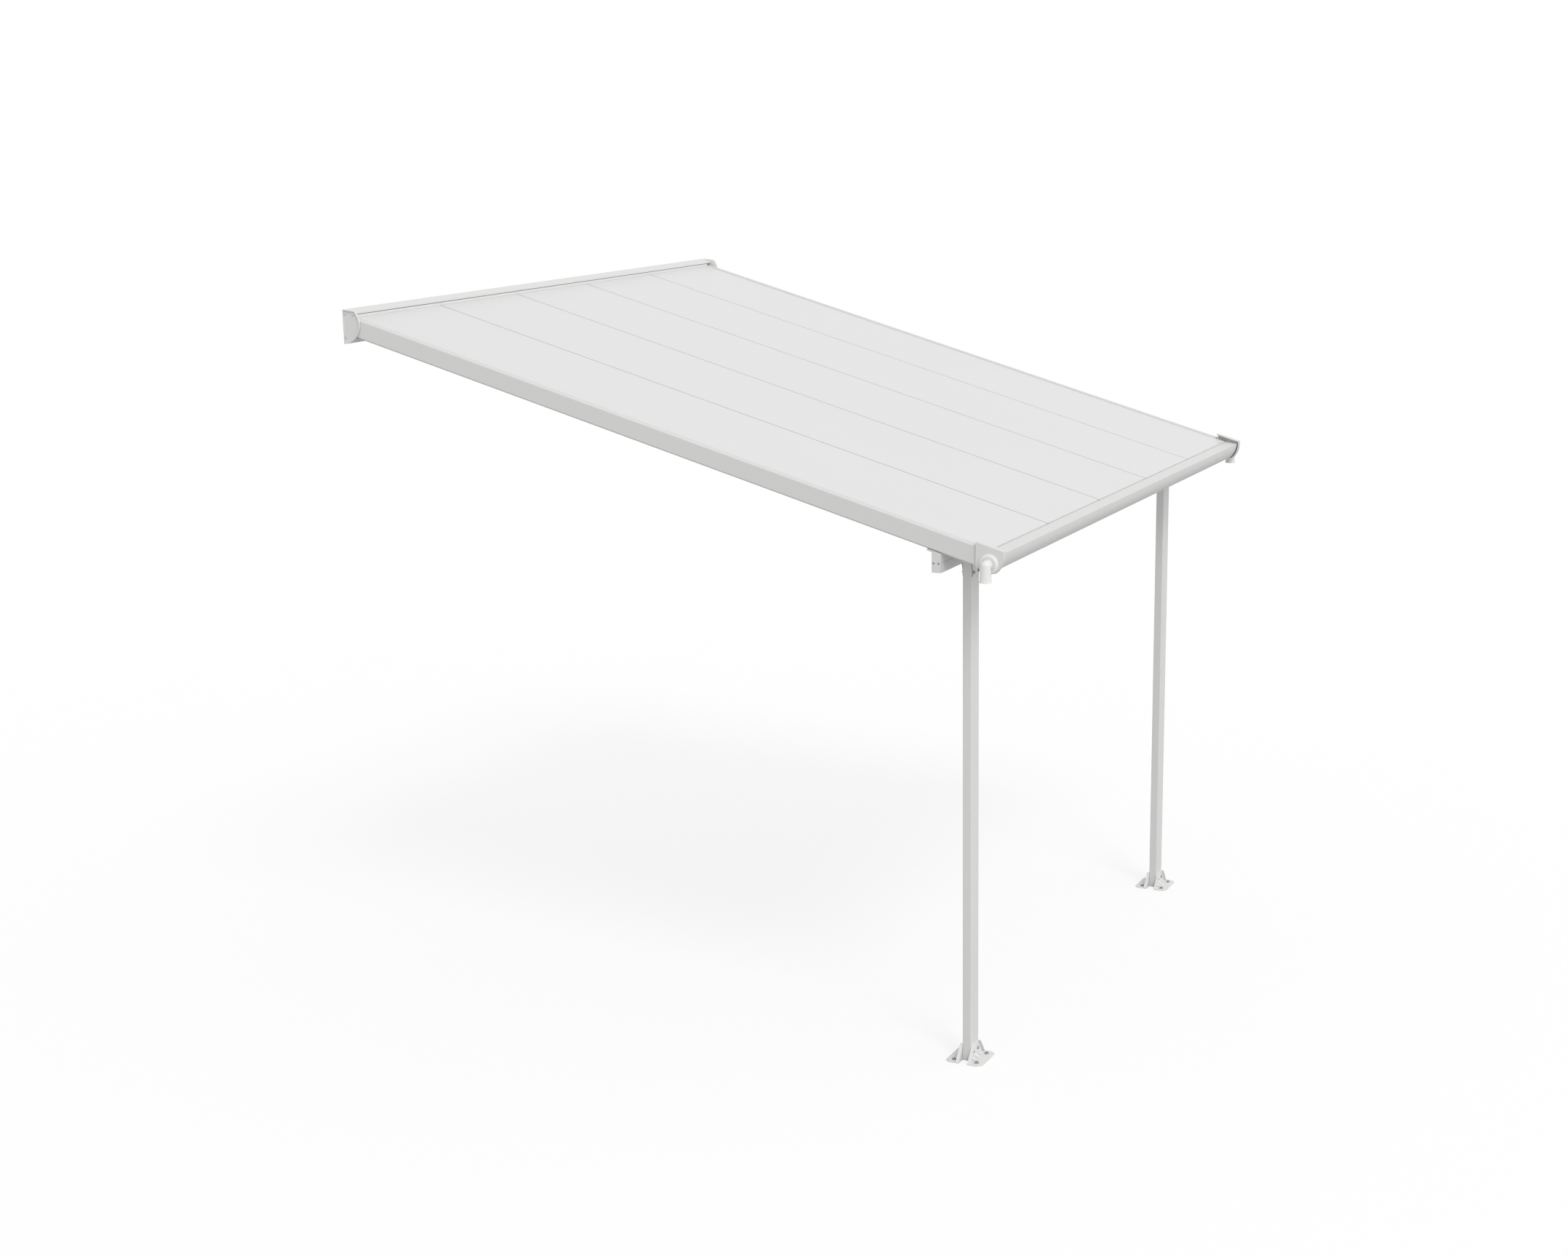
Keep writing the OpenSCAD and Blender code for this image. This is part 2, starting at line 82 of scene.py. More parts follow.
lens = bpy.data.cameras.new("camera")
lens.sensor_fit = "HORIZONTAL"
lens.sensor_width = SENSOR
lens.lens = SENSOR * FOCAL_PIXELS / IMAGE_WIDTH
lens.shift_x = (IMAGE_WIDTH / 2 - CENTRE_X_PIXEL) / IMAGE_WIDTH
lens.shift_y = (CENTRE_Y_PIXEL - IMAGE_HEIGHT / 2) / IMAGE_WIDTH
camera = bpy.data.objects.new("camera", lens)
bpy.context.collection.objects.link(camera)
camera.location = CAMERA_PLACE
camera.rotation_euler = (math.radians(90 - CAMERA_DROP), 0, math.radians(CAMERA_TURN))
bpy.context.scene.camera = camera
print("lens", round(lens.lens, 1), "mm")

# %% [markdown]
# ## Shader maths
# A pattern reads best as a formula. The small class Field wraps a socket, so that
# `1 - rib * 0.2` adds its Math nodes by itself, and one method makes every other node.

# %% Fields
class Field:
    def __init__(self, tree, socket):
        self.tree = tree
        self.socket = socket

    def node(self, kind, settings=None, values=None, out=0):
        made = self.tree.nodes.new(kind)
        for name, value in (settings or {}).items():
            setattr(made, name, value)
        for name, value in (values or {}).items():
            if isinstance(value, Field):
                self.tree.links.new(value.socket, made.inputs[name])
            else:
                made.inputs[name].default_value = value
        return Field(self.tree, made.outputs[out])

    def math(self, operation, first, second=0.0):
        return self.node("ShaderNodeMath", {"operation": operation}, {0: first, 1: second})

    def __add__(self, other):
        return self.math("ADD", self, other)

    def __radd__(self, other):
        return self.math("ADD", other, self)

    def __sub__(self, other):
        return self.math("SUBTRACT", self, other)

    def __rsub__(self, other):
        return self.math("SUBTRACT", other, self)

    def __mul__(self, other):
        return self.math("MULTIPLY", self, other)

    def __rmul__(self, other):
        return self.math("MULTIPLY", other, self)

    def __mod__(self, other):
        return self.math("FLOORED_MODULO", self, other)

    def size(self):
        return self.math("ABSOLUTE", self)

    def most(self, other):
        return self.math("MAXIMUM", self, other)

    def rise(self, low, high):
        settings = {"interpolation_type": "SMOOTHSTEP"}
        return self.node("ShaderNodeMapRange", settings, {0: self, 1: low, 2: high})


print("fields ready")

# %% [markdown]
# ## Finishes
# Every finish is a Principled shader with a colour that drifts a little, a roughness that
# varies, and a fine bump. Patterns are laid on Object coordinates, which are metres in the
# frame, so a pattern has its real size and runs on from one piece to the next.

# %% Finish builder
class Finish:
    def __init__(self, name, metallic=0.0):
        self.material = bpy.data.materials.new(name)
        self.material.use_nodes = True
        self.tree = self.material.node_tree
        self.shader = self.tree.nodes["Principled BSDF"]
        self.shader.inputs["Metallic"].default_value = metallic
        places = self.tree.nodes.new("ShaderNodeTexCoord")
        self.place = Field(self.tree, places.outputs["Object"])

    def axis(self, number):
        return self.place.node("ShaderNodeSeparateXYZ", None, {0: self.place}, out=number)

    def noise(self, scale, detail=3.0, stretch=(1, 1, 1)):
        spot = self.place.node("ShaderNodeMapping", None, {"Vector": self.place, "Scale": stretch})
        values = {0: spot, "Scale": scale, "Detail": detail}
        return self.place.node("ShaderNodeTexNoise", None, values)

    def colour(self, factor, low, high):
        values = {0: factor, 6: (*low, 1), 7: (*high, 1)}
        mixed = self.place.node("ShaderNodeMix", {"data_type": "RGBA"}, values, out=2)
        self.tree.links.new(mixed.socket, self.shader.inputs["Base Color"])

    def attribute(self, name):
        return self.place.node("ShaderNodeAttribute", {"attribute_name": name}, out=2)

    def rough(self, field):
        self.tree.links.new(field.socket, self.shader.inputs["Roughness"])

    def bump(self, height, distance, strength=1.0):
        values = {"Height": height, "Distance": distance, "Strength": strength}
        bent = self.place.node("ShaderNodeBump", None, values)
        self.tree.links.new(bent.socket, self.shader.inputs["Normal"])


def shades(tone, low=0.965):
    warm = (tone, tone, tone * 0.99)
    return tuple(part * low for part in warm), warm


print("finish builder ready")

# %% [markdown]
# ## Powder coat
# The profiles are aluminium with a baked white powder coat. Close up such a coat has a fine
# orange peel, and over a metre its tone drifts by a percent or two. Two variants carry painted
# shade: a dark line along the lip of a side profile is painted shade standing for a fine groove
# there, and the top plates have painted shade on their cut edges. The foot brackets have a
# brighter white.

# %% Powder coat
# The dark colour of the painted shade on the side profiles and the top plates.
PAINTED_SHADE_COLOUR = (0.21, 0.21, 0.205)
LIP_GROOVE = 1537 * MM


def powder_coat(name, tone, mark=None):
    coat = Finish(name)
    drift = coat.noise(1.7)
    low, high = shades(tone)
    if mark is None:
        coat.colour(drift, low, high)
    else:
        coat.colour(0.94 + drift * 0.06 - mark(coat), PAINTED_SHADE_COLOUR, high)
    coat.rough(0.34 + drift * 0.12)
    coat.bump(coat.noise(420.0, detail=2.0), 0.0002, 0.3)
    return coat.material


# Painted shade: a dark line along the lip, where a fine groove would lie in shade.
def painted_groove_shade(coat):
    from_groove = (coat.axis(0).size() - LIP_GROOVE).size()
    return (1 - from_groove.rise(0.8 * MM, 1.8 * MM)) * 0.62


# Painted shade: the narrow cut faces of a top plate are darkened as if they lay in shade.
def painted_edge_shade(coat):
    return coat.attribute("painted_edge_shade") * 0.78


COAT = powder_coat("powder_coat", 0.715)
GROOVE_SHADED_COAT = powder_coat("groove_shaded_coat", 0.715, painted_groove_shade)
EDGE_SHADED_COAT = powder_coat("edge_shaded_coat", 0.73, painted_edge_shade)
BRACKET_COAT = powder_coat("bracket_coat", 0.79)
print(COAT.name, GROOVE_SHADED_COAT.name, EDGE_SHADED_COAT.name, BRACKET_COAT.name)

# %% [markdown]
# ## Moulded plastic
# The end caps and the outlets are injection moulded. They are smoother than the powder coat,
# with a very fine grain. The outlets are a plain bright white, the caps match the profiles.

# %% Moulded plastic
def moulded(name, tone):
    plastic = Finish(name)
    drift = plastic.noise(9.0)
    low, high = shades(tone, 0.975)
    plastic.colour(drift, low, high)
    plastic.rough(0.38 + drift * 0.12)
    plastic.bump(plastic.noise(900.0, detail=1.0), 0.0001, 0.3)
    return plastic.material


CAP_PLASTIC = moulded("cap_plastic", 0.72)
OUTLET_PLASTIC = moulded("outlet_plastic", 0.82)
print(CAP_PLASTIC.name, OUTLET_PLASTIC.name)

# %% Roof measures
PANEL_PITCH = 610 * MM
PANEL_WIDTH = 606 * MM
PANEL_LENGTH = 3000 * MM
PANELS = 5
FLUTE_PITCH = 15.1 * MM
FLUTES = 40
FLUTE_MARGIN = (PANEL_WIDTH - FLUTES * FLUTE_PITCH) / 2
ROOF_FALL = math.radians(15)


def from_panel_middle(finish):
    half = PANEL_PITCH / 2
    return ((finish.axis(0) + half) % PANEL_PITCH - half).size()


print(PANELS, "panels of", FLUTES, "flutes")

# %% [markdown]
# ## Closure strip and vent tape
# The closure strip is white plastic, and its top band right under the lip of the cover is
# painted dark as the lip's shadow. The vent tape that closes the lower ends of the flutes is
# white, with a dark mark at each flute: painted shade of a slot that opens into the flute.

# %% Plastics with painted shade
LIP_SHADOW_BOTTOM = 48.0 * MM
LIP_SHADOW_BLEND = 0.5 * MM
PAINTED_SHADE_BLACK = (0.13, 0.13, 0.13)
MILKY_WHITE = (0.76, 0.76, 0.75)


# White plastic with a dark colour mixed in by a mask of painted shade.
def plastic_with_painted_shade(name, mark):
    plastic = Finish(name)
    drift = plastic.noise(12.0)
    plastic.colour(0.9 + drift * 0.1 - mark(plastic), PAINTED_SHADE_BLACK, MILKY_WHITE)
    plastic.rough(0.4 + drift * 0.14)
    plastic.bump(plastic.noise(700.0, detail=1.0), 0.0001, 0.3)
    return plastic.material


# Painted shadow: the top band of the strip, under the lip of the cover, is darkened as the lip's
# shadow.
def lip_shadow(plastic):
    height = plastic.axis(2)
    return height.rise(LIP_SHADOW_BOTTOM - LIP_SHADOW_BLEND, LIP_SHADOW_BOTTOM + LIP_SHADOW_BLEND) * 0.85


# Painted shade: a dark mark at each flute stands for a slot that opens into the dark flute behind
# the tape.
def painted_slot_shade(plastic):
    in_flute = (from_panel_middle(plastic) % FLUTE_PITCH - FLUTE_PITCH / 2).size()
    return (1 - in_flute.rise(2.2 * MM, 3.4 * MM)) * 0.6


LIP_SHADOWED_CLOSURE = plastic_with_painted_shade("lip_shadowed_closure_plastic", lip_shadow)
VENT_TAPE = plastic_with_painted_shade("vent_tape", painted_slot_shade)
print(LIP_SHADOWED_CLOSURE.name, VENT_TAPE.name)

# %% [markdown]
# ## Opal multiwall sheet
# A multiwall panel is two thin skins with a row of ribs between them. The ribs show through as
# fine lines that run down the slope, and the skin sinks a hair between them. The pattern counts
# metres across the roof: first the place inside the panel, then the place inside the flute. The
# last two millimetres along a cut edge carry painted shade, which deepens the dark line at each
# joint.

# %% Opal sheet
RIB_COLOUR = (0.56, 0.565, 0.56)
SKIN_COLOUR = (0.745, 0.75, 0.745)


def opal_sheet(name):
    sheet = Finish(name)
    from_middle = from_panel_middle(sheet)
    in_flute = ((from_middle + FLUTE_PITCH / 2) % FLUTE_PITCH - FLUTE_PITCH / 2).size()
    rib = 1 - in_flute.rise(0.8 * MM, 3.2 * MM)
    # Painted shade: a dark band on the last two millimetres at each side of a panel, beside the
    # joint.
    edge = from_middle.rise(PANEL_WIDTH / 2 - 2.6 * MM, PANEL_WIDTH / 2 - 0.8 * MM)
    drift = sheet.noise(1.1)
    streak = sheet.noise(60.0, detail=2.0, stretch=(1, 0.02, 0.02))
    tone = 0.85 + drift * 0.12 + streak * 0.10 - rib * 0.45 - edge * 0.95
    sheet.colour(tone, RIB_COLOUR, SKIN_COLOUR)
    sheet.rough(0.26 + streak * 0.10)
    sheet.bump(rib, 0.0003, 0.5)
    return sheet.material


OPAL = opal_sheet("opal_sheet")
print(OPAL.name)

# %% [markdown]
# ## Sealing strip and steel
# The joints are closed by an almost black rubber strip. The screws are dull stainless steel,
# brushed a little by the driver, so their roughness varies along with their colour.

# %% Sealing strip
def sealing_strip(name):
    strip = Finish(name)
    drift = strip.noise(30.0)
    strip.colour(drift, (0.055, 0.055, 0.055), (0.085, 0.085, 0.085))
    strip.rough(0.6 + drift * 0.2)
    strip.bump(strip.noise(600.0), 0.0001, 0.3)
    return strip.material


GASKET = sealing_strip("sealing_strip")
print(GASKET.name)

# %% Stainless steel
def stainless(name):
    steel = Finish(name, metallic=1.0)
    brushed = steel.noise(700.0, detail=2.0, stretch=(1, 1, 0.2))
    steel.colour(brushed, (0.34, 0.35, 0.36), (0.50, 0.51, 0.52))
    steel.rough(0.22 + brushed * 0.2)
    steel.bump(brushed, 0.00005, 0.3)
    return steel.material


STEEL = stainless("stainless_steel")
print(STEEL.name)

# %% [markdown]
# ## Dress the solids
# The record says which slot each solid belongs to, so one table of slots dresses most of them.
# A second table names the solids that have a finish of their own.

# %% Dress the solids
FINISH = {"coat": COAT, "sheet": OPAL, "moulding": CAP_PLASTIC, "gasket": GASKET}
SLOT = {part["node"]: part["material_slot"] for part in frame["record"]["subparts"]}
OWN_FINISH = {"outlet": OUTLET_PLASTIC, "closure": LIP_SHADOWED_CLOSURE, "side": GROOVE_SHADED_COAT,
              "top_plate": EDGE_SHADED_COAT, "foot": BRACKET_COAT}


def finish_of(node):
    for kind, material in OWN_FINISH.items():
        if node.startswith(kind):
            return material
    return FINISH[SLOT[node]]


for node in SLOT:
    solid = NODES[node]
    solid.data.materials.clear()
    solid.data.materials.append(finish_of(node))
print("dressed", len(SLOT), "solids")

# %% [markdown]
# ## Helpers for new pieces
# A finished piece keeps its object at the origin and its place in its mesh. `lathe` spins an
# outline of (radius, height) pairs round Z, and `stamp` sets copies of a small mesh in many
# places and makes one object of them.

# %% Piece helpers
def settle(name, shape, material):
    mesh = bpy.data.meshes.new(name)
    shape.to_mesh(mesh)
    shape.free()
    mesh.materials.append(material)
    mesh.shade_flat()
    piece = bpy.data.objects.new(name, mesh)
    bpy.context.collection.objects.link(piece)
    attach(piece, "root")
    return piece


def lathe(outline, steps=24):
    shape = bmesh.new()
    chain = [shape.verts.new((radius * MM, 0, height * MM)) for radius, height in outline]
    wire = [shape.edges.new(pair) for pair in zip(chain, chain[1:])]
    bmesh.ops.spin(shape, geom=chain + wire, cent=(0, 0, 0), axis=(0, 0, 1),
                   angle=math.tau, steps=steps, use_merge=True)
    bmesh.ops.remove_doubles(shape, verts=shape.verts, dist=0.001 * MM)
    bmesh.ops.recalc_face_normals(shape, faces=shape.faces)
    return shape


def stamp(name, pattern, places, material):
    small = bpy.data.meshes.new(name + "_pattern")
    pattern.to_mesh(small)
    pattern.free()
    shape = bmesh.new()
    for place in places:
        before = len(shape.verts)
        shape.from_mesh(small)
        shape.verts.ensure_lookup_table()
        bmesh.ops.transform(shape, matrix=place, verts=shape.verts[before:])
    bpy.data.meshes.remove(small)
    piece = settle(name, shape, material)
    print(name, len(places), "copies")
    return piece


def facing(spot, direction):
    turn = Vector(direction).to_track_quat("Z", "Y").to_matrix().to_4x4()
    return Matrix.Translation(Vector(spot)) @ turn


print("piece helpers ready")

# %% [markdown]
# ## Rounded edges
# No moulding or pressing has a knife edge: the small radius catches a thin line of light, and
# it is what makes a cap read as a real piece. The caps, plates and brackets are copied from
# their solids, their triangles are merged back into flat faces, and only the sharp edges get a
# bevel. The narrow faces of a top plate are then written to an attribute, which its coat reads
# to paint shade on the cut edges. Each copy stands for its solid and keeps its place.

# %% Edge rounding
BROAD_FACE = 0.72
FLAT_WITHIN = math.radians(1.0)
SHARP_FROM = math.radians(30)


# The mask for the painted shade on a top plate's cut edges: 1 on its narrow faces.
def mark_cut_edges(shape):
    layer = shape.loops.layers.float_color.new("painted_edge_shade")
    for face in shape.faces:
        share = 1.0 if abs(face.normal.y) < BROAD_FACE else 0.0
        for corner in face.loops:
            corner[layer] = (share, share, share, 1.0)


def edged_copy(node, width):
    shape = bmesh.new()
    shape.from_mesh(NODES[node].data)
    bmesh.ops.remove_doubles(shape, verts=shape.verts, dist=0.01 * MM)
    bmesh.ops.dissolve_limit(shape, angle_limit=FLAT_WITHIN,
                             verts=shape.verts, edges=shape.edges)
    sharp = [edge for edge in shape.edges
             if len(edge.link_faces) == 2 and edge.calc_face_angle(0.0) > SHARP_FROM]
    bmesh.ops.bevel(shape, geom=sharp, offset=width * MM, offset_type="OFFSET", affect="EDGES",
                    segments=2, profile=0.5, clamp_overlap=True, material=-1)
    bmesh.ops.triangulate(shape, faces=[face for face in shape.faces if len(face.verts) > 4])
    if node.startswith("top_plate"):
        mark_cut_edges(shape)
    piece = settle(node + "_edged", shape, finish_of(node))
    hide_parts(node)
    return piece


EDGE_RADIUS = {"wall_cap": 1.2, "gutter_cap": 1.4, "beam_cap": 0.8, "foot": 0.9, "top_plate": 0.7}
for node in SLOT:
    for kind, radius in EDGE_RADIUS.items():
        if node.startswith(kind):
            rounded = edged_copy(node, radius)
            print(rounded.name, len(rounded.data.polygons), "faces")

# %% [markdown]
# ## Anchor screws of the feet
# Each foot bracket is held by two hexagon screws with a flange washer. A six-sided cone gives
# the head, and a bevel breaks its top edge.

# %% Measures of the brackets
BASE_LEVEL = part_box("foot_front_left")[0][2]
BEAM_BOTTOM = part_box("support_beam")[0][2]
BEAM_HEIGHT = 75 * MM
BRACKET_PLATE = 4 * MM
TOP_PLATE = 3 * MM
POST_TO_PLATE = 19.3 * MM
POST_SCREW_OUT = 23.5 * MM
FOOT_SCREW_HEIGHT = 38 * MM
TOP_SCREWS = (15 * MM, -56 * MM)
post_low, post_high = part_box("post_left")
POST_X = -(post_low[0] + post_high[0]) / 2
POST_Y = (post_low[1] + post_high[1]) / 2
print("base", round(BASE_LEVEL, 4), "post", round(POST_X, 4), round(POST_Y, 4))

# %% Hexagon screw
HEAD_RADIUS = 7.5 * MM
HEAD_HEIGHT = 5.5 * MM
HEAD_MIDDLE = 4.4 * MM
HEAD_CHAMFER = 1.1 * MM
WASHER_OUTLINE = ((4.0, 0.0), (10.0, 0.0), (10.3, 0.7), (9.6, 1.5), (4.0, 2.2), (4.0, 0.0))


def hex_screw():
    head = bmesh.new()
    bmesh.ops.create_cone(head, cap_ends=True, segments=6, radius1=HEAD_RADIUS,
                          radius2=HEAD_RADIUS, depth=HEAD_HEIGHT,
                          matrix=Matrix.Translation((0, 0, HEAD_MIDDLE)))
    rim = [edge for edge in head.edges if all(vert.co.z > HEAD_MIDDLE for vert in edge.verts)]
    bmesh.ops.bevel(head, geom=rim, offset=HEAD_CHAMFER, offset_type="OFFSET", affect="EDGES",
                    segments=2, profile=0.5, clamp_overlap=True, material=-1)
    washer = lathe(WASHER_OUTLINE)
    flat = bpy.data.meshes.new("washer")
    washer.to_mesh(flat)
    washer.free()
    head.from_mesh(flat)
    bpy.data.meshes.remove(flat)
    bmesh.ops.recalc_face_normals(head, faces=head.faces)
    return head


anchor_places = {"left": [], "right": []}
for side in ("left", "right"):
    for face in ("front", "back"):
        mount = MOUNTS[f"foot_{face}_{side}_holes"]
        middle = Vector(mount["pos_m"]) + Vector((0, 0, BRACKET_PLATE))
        half = mount["dims"]["spacing_x_mm"] / 2 * MM
        for step in (-half, half):
            anchor_places[side].append(facing(middle + Vector((step, 0, 0)), (0, 0, 1)))
    stamp("anchor_screws_" + side, hex_screw(), anchor_places[side], STEEL)

# %% [markdown]
# ## Screws in the posts and the beam
# The brackets and the top plates are held by domed screws with a socket and a washer. Their
# outline is drawn once, from the socket's floor over the dome to the washer, and spun.

# %% Domed screw
WASHER_HEIGHT = 0.9
POST_SCREW = {"radius": 5.6, "height": 4.4, "washer": 7.6}


def domed_screw(radius, height, washer):
    lip = WASHER_HEIGHT if washer else 0.0
    outline = [(0, height * 0.45 + lip), (radius * 0.42, height * 0.45 + lip),
               (radius * 0.46, height * 0.97 + lip), (radius * 0.62, height * 0.92 + lip),
               (radius * 0.88, height * 0.62 + lip), (radius, height * 0.2 + lip), (radius, lip)]
    if washer:
        outline += [(washer, lip), (washer, 0.0)]
    outline += [(0, 0.0)]
    return lathe(outline)


for side, sign in (("left", -1), ("right", 1)):
    places = []
    for face in (-1, 1):
        out_foot = POST_Y + face * (POST_TO_PLATE + BRACKET_PLATE)
        out_top = POST_Y + face * (POST_TO_PLATE + TOP_PLATE)
        for step in (-POST_SCREW_OUT, POST_SCREW_OUT):
            x = sign * POST_X + step
            places.append(facing((x, out_foot, BASE_LEVEL + FOOT_SCREW_HEIGHT), (0, face, 0)))
            for height in TOP_SCREWS:
                places.append(facing((x, out_top, BEAM_BOTTOM + height), (0, face, 0)))
    stamp("post_screws_" + side, domed_screw(**POST_SCREW), places, STEEL)

# %% Beam cap screws
CAP_SCREW_EDGE = 8 * MM
CAP_SCREW = {"radius": 4.2, "height": 2.6, "washer": 0}
for side, sign in (("left", -1), ("right", 1)):
    cap_low, cap_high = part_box("beam_cap_" + side)
    face_x = cap_low[0] if sign < 0 else cap_high[0]
    places = [facing((face_x, y, BEAM_BOTTOM + BEAM_HEIGHT / 2), (sign, 0, 0))
              for y in (cap_low[1] + CAP_SCREW_EDGE, cap_high[1] - CAP_SCREW_EDGE)]
    stamp("beam_cap_screws_" + side, domed_screw(**CAP_SCREW), places, STEEL)

# %% [markdown]
# ## Bosses on the wall caps
# The sunk face of each wall cap carries three moulded bosses, where its pins are pressed in.
# A boss is a short stub with a dished top, so it is spun too.

# %% Wall cap bosses
BOSS_SPOTS = ((-11, 56), (-48, 52), (-11, -42))
BOSS_OUTLINE = ((0, 0), (5.5, 0), (4.9, 3.6), (4.4, 4.2), (3.0, 4.2), (2.7, 3.4), (0, 3.4))
BOSS_STEPS = 20
CAP_FACE = 4.3 * MM
PROFILE_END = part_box("wall_profile")[1][0]

for side, sign in (("left", -1), ("right", 1)):
    face_x = sign * (PROFILE_END + CAP_FACE)
    places = [facing((face_x, y * MM, z * MM), (sign, 0, 0)) for y, z in BOSS_SPOTS]
    stamp("wall_cap_bosses_" + side, lathe(BOSS_OUTLINE, BOSS_STEPS), places,
          CAP_PLASTIC)

# %% [markdown]
# ## Teeth of the closure strip
# Under the lip of the cover strip a closure strip stands on the panels. Its foot is cut into
# teeth, one for each flute, so that the flutes can breathe. From afar they read as a fine
# white dotted line. One bevelled block is stamped two hundred times.

# %% Closure teeth
TOOTH = (8.6 * MM, 2.2 * MM, 3.4 * MM)
TOOTH_BEVEL = 0.7 * MM


def bevelled_block(size, offset):
    block = bmesh.new()
    bmesh.ops.create_cube(block, size=1.0, matrix=Matrix.Diagonal((*size, 1)))
    bmesh.ops.bevel(block, geom=block.edges[:], offset=offset, offset_type="OFFSET",
                    affect="EDGES", segments=1, profile=0.5, clamp_overlap=True, material=-1)
    return block


strip_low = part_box("closure_strip")[0]
tooth_y = strip_low[1] - TOOTH[1] / 2
tooth_z = strip_low[2] + TOOTH[2] / 2
places = []
for number in range(PANELS):
    start = (number - PANELS // 2) * PANEL_PITCH - PANEL_WIDTH / 2 + FLUTE_MARGIN
    for flute in range(FLUTES):
        x = start + (flute + 0.5) * FLUTE_PITCH
        places.append(Matrix.Translation((x, tooth_y, tooth_z)))
stamp("closure_teeth", bevelled_block(TOOTH, TOOTH_BEVEL), places, OUTLET_PLASTIC)

# %% [markdown]
# ## Vent tape
# The flutes are open at the gutter, so that water can run out. A tape over their ends keeps
# leaves and insects out. It is a thin block in the plane of each panel's lower end, turned by
# the fall of the roof.

# %% Vent tape
TAPE = (602 * MM, 2.2 * MM, 14.6 * MM)
TAPE_BEVEL = 0.3 * MM
TAPE_OFFSET = Vector((0, -1.4 * MM, -8.0 * MM))

sheet_low, sheet_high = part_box("roof_panel_1")
end_height = sheet_high[2] - PANEL_LENGTH * math.sin(ROOF_FALL)
along_end = Matrix.Rotation(ROOF_FALL, 4, "X")
for number in range(PANELS):
    end = Vector(((number - PANELS // 2) * PANEL_PITCH, sheet_low[1], end_height))
    place = Matrix.Translation(end + along_end @ TAPE_OFFSET) @ along_end
    stamp(f"vent_tape_{number + 1}", bevelled_block(TAPE, TAPE_BEVEL), [place],
          VENT_TAPE)

# %% [markdown]
# ## Beads of the foot brackets
# A pressed bracket is stiffened by beads that run from the upright over the fold onto the
# base. Each is a small wedge: a triangle is extruded sideways and its edges are rounded.

# %% Foot beads
BEAD = {"reach": 20, "height": 10, "width": 7}
BEAD_ROUNDING = 1.4 * MM
BEAD_SPOTS = (-36 * MM, 0, 36 * MM)


def bead(reach, height, width):
    wedge = bmesh.new()
    corners = [(-width / 2, 0, 0), (-width / 2, -reach, 0), (-width / 2, 0, height)]
    side = wedge.faces.new([wedge.verts.new([part * MM for part in corner]) for corner in corners])
    grown = bmesh.ops.extrude_face_region(wedge, geom=[side])["geom"]
    moved = [item for item in grown if isinstance(item, bmesh.types.BMVert)]
    bmesh.ops.translate(wedge, verts=moved, vec=(width * MM, 0, 0))
    bmesh.ops.bevel(wedge, geom=wedge.edges[:], offset=BEAD_ROUNDING, offset_type="OFFSET",
                    affect="EDGES", segments=3, profile=0.5, clamp_overlap=True, material=-1)
    bmesh.ops.recalc_face_normals(wedge, faces=wedge.faces)
    return wedge


for side, sign in (("left", -1), ("right", 1)):
    places = []
    for face in (-1, 1):
        fold = Vector((sign * POST_X, POST_Y + face * (POST_TO_PLATE + BRACKET_PLATE),
                       BASE_LEVEL + BRACKET_PLATE))
        turn = Matrix.Rotation(0 if face < 0 else math.pi, 4, "Z")
        for step in BEAD_SPOTS:
            places.append(Matrix.Translation(fold + Vector((step, 0, 0))) @ turn)
    stamp("foot_beads_" + side, bead(**BEAD), places, BRACKET_COAT)

# %% [markdown]
# ## The studio
# White goods on white need a few levels of light. The sky is brightest low down, brighter
# again in front, and a wide soft sun comes from the front left. The floor is almost white for
# the lens and a middle grey for the light that it throws back, so that the undersides of the
# gutter and profiles keep their darker shade. It also glows a little for the lens, as a lit
# table does, so that its shade under the roof stays faint.

# %% Sky
SKY_LEVEL = 0.62
SKY_LOW_DOWN = 0.46
SKY_IN_FRONT = 0.54

scene = bpy.context.scene
scene.view_settings.view_transform = "Standard"
world = bpy.data.worlds.new("studio")
world.use_nodes = True
scene.world = world
sky_tree = world.node_tree
direction = Field(sky_tree, sky_tree.nodes.new("ShaderNodeTexCoord").outputs["Generated"])
towards = [direction.node("ShaderNodeSeparateXYZ", None, {0: direction}, out=i) for i in range(3)]
low_down = 1 - towards[2].most(0.0)
in_front = (0 - towards[1]).most(0.0)
level = SKY_LEVEL + low_down * low_down * SKY_LOW_DOWN + in_front * SKY_IN_FRONT
sky_tree.links.new(level.socket, sky_tree.nodes["Background"].inputs["Strength"])
sky_tree.nodes["Background"].inputs["Color"].default_value = (1, 1, 1, 1)
print("sky ready")

# %% Sun
SUN_SHARE = 0.28
SUN_WIDTH = 20
TO_SUN = Vector((-0.42, -0.50, 0.76))

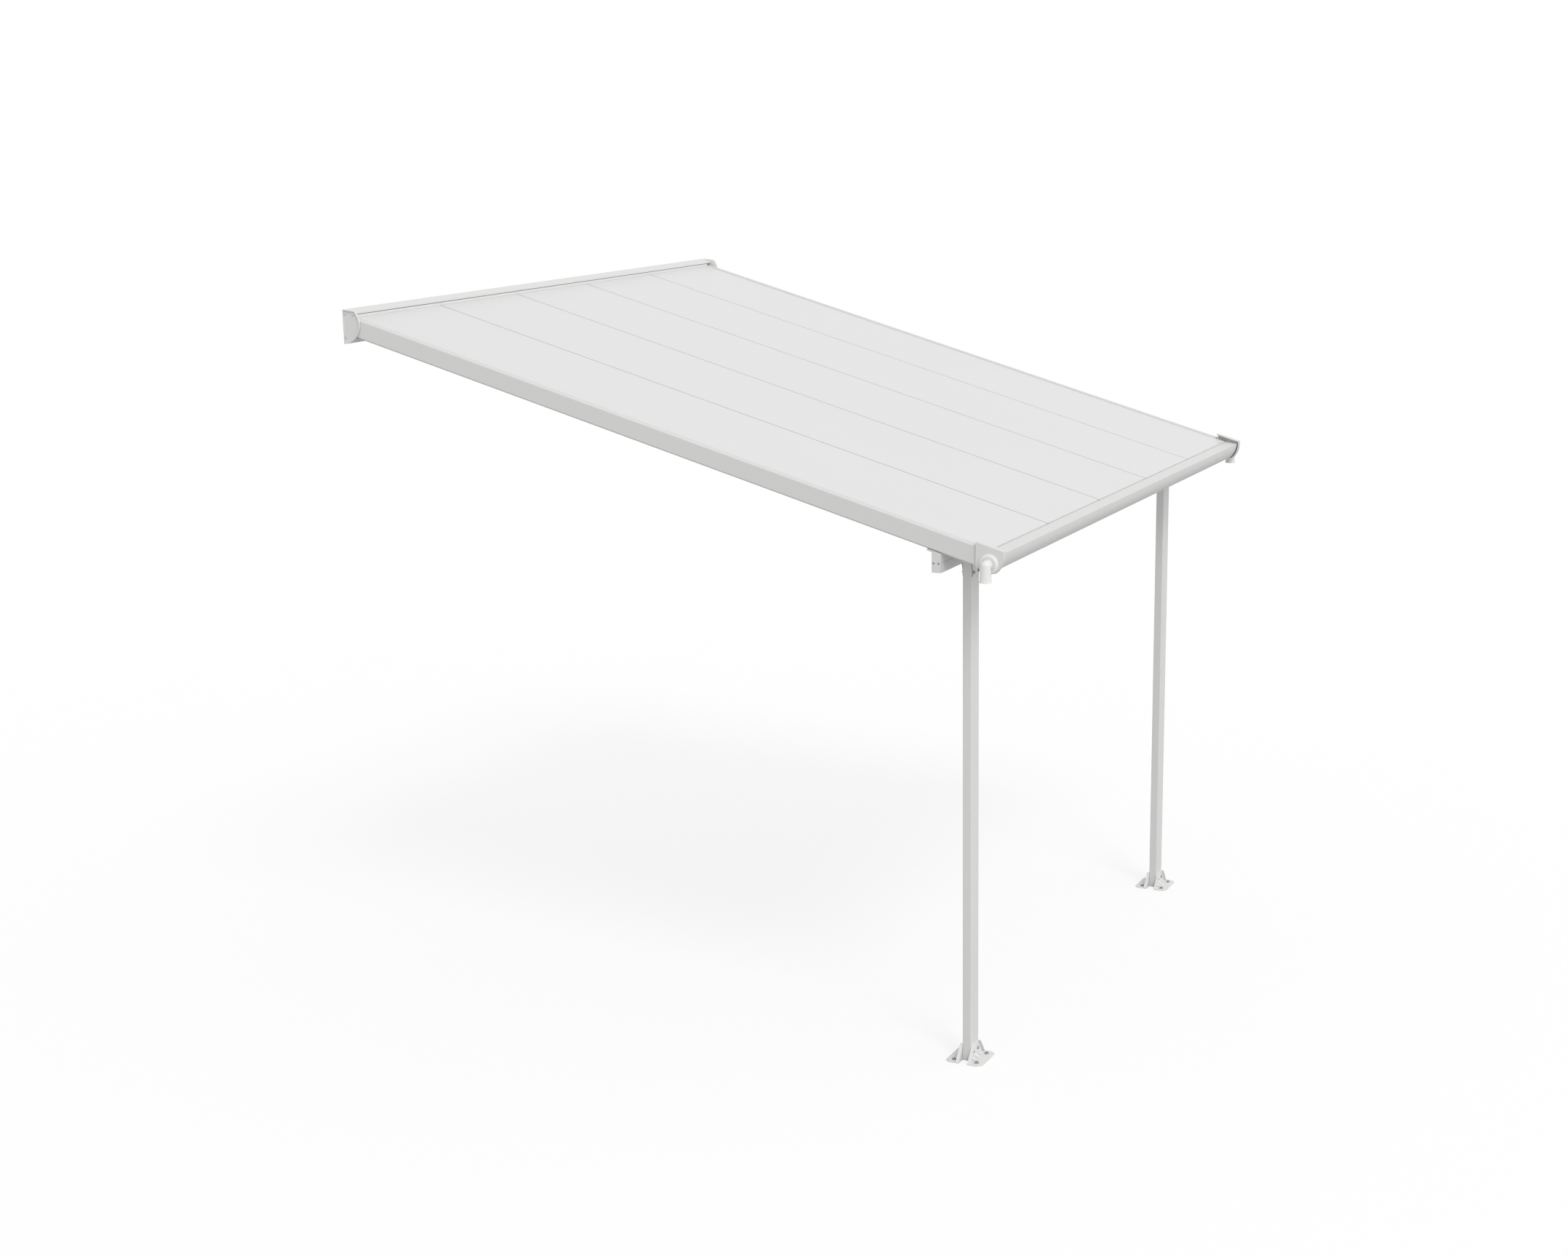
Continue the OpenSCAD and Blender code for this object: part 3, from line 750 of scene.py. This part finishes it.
sun = bpy.data.lights.new("sun", "SUN")
sun.energy = SUN_SHARE * math.pi
sun.angle = math.radians(SUN_WIDTH)
sun_object = bpy.data.objects.new("sun", sun)
bpy.context.collection.objects.link(sun_object)
sun_object.rotation_euler = TO_SUN.to_track_quat("Z", "Y").to_euler()
print("sun", round(sun.energy, 2))

# %% Floor
FLOOR_LOW = (0.97, 0.97, 0.97, 1)
FLOOR_HIGH = (0.98, 0.98, 0.98, 1)
FLOOR_BOUNCE = (0.50, 0.50, 0.50, 1)
FLOOR_GLOW = 0.72
FLOOR_HALF = 150.0


def floor_paint(name):
    material = bpy.data.materials.new(name)
    material.use_nodes = True
    tree = material.node_tree
    tree.nodes.remove(tree.nodes["Principled BSDF"])
    ray = Field(tree, tree.nodes.new("ShaderNodeLightPath").outputs["Is Camera Ray"])
    place = Field(tree, tree.nodes.new("ShaderNodeTexCoord").outputs["Object"])
    drift = place.node("ShaderNodeTexNoise", None, {0: place, "Scale": 0.3})
    tint = place.node("ShaderNodeMix", {"data_type": "RGBA"},
                      {0: drift, 6: FLOOR_LOW, 7: FLOOR_HIGH}, out=2)
    shaded = place.node("ShaderNodeBsdfDiffuse", None, {"Color": tint})
    glow = place.node("ShaderNodeEmission", None, {"Strength": 1.0})
    seen = place.node("ShaderNodeMixShader", None, {0: FLOOR_GLOW, 1: shaded, 2: glow})
    thrown = place.node("ShaderNodeBsdfDiffuse", None, {"Color": FLOOR_BOUNCE})
    mixed = place.node("ShaderNodeMixShader", None, {0: ray, 1: thrown, 2: seen})
    tree.links.new(mixed.socket, tree.nodes["Material Output"].inputs["Surface"])
    return material


plane = bmesh.new()
bmesh.ops.create_grid(plane, x_segments=6, y_segments=6, size=FLOOR_HALF)
bmesh.ops.translate(plane, vec=(0, 0, BASE_LEVEL), verts=plane.verts)
floor_mesh = bpy.data.meshes.new("floor")
plane.to_mesh(floor_mesh)
plane.free()
floor_mesh.materials.append(floor_paint("floor_paint"))
floor = bpy.data.objects.new("floor", floor_mesh)
bpy.context.collection.objects.link(floor)
print("floor", 2 * FLOOR_HALF, "m")
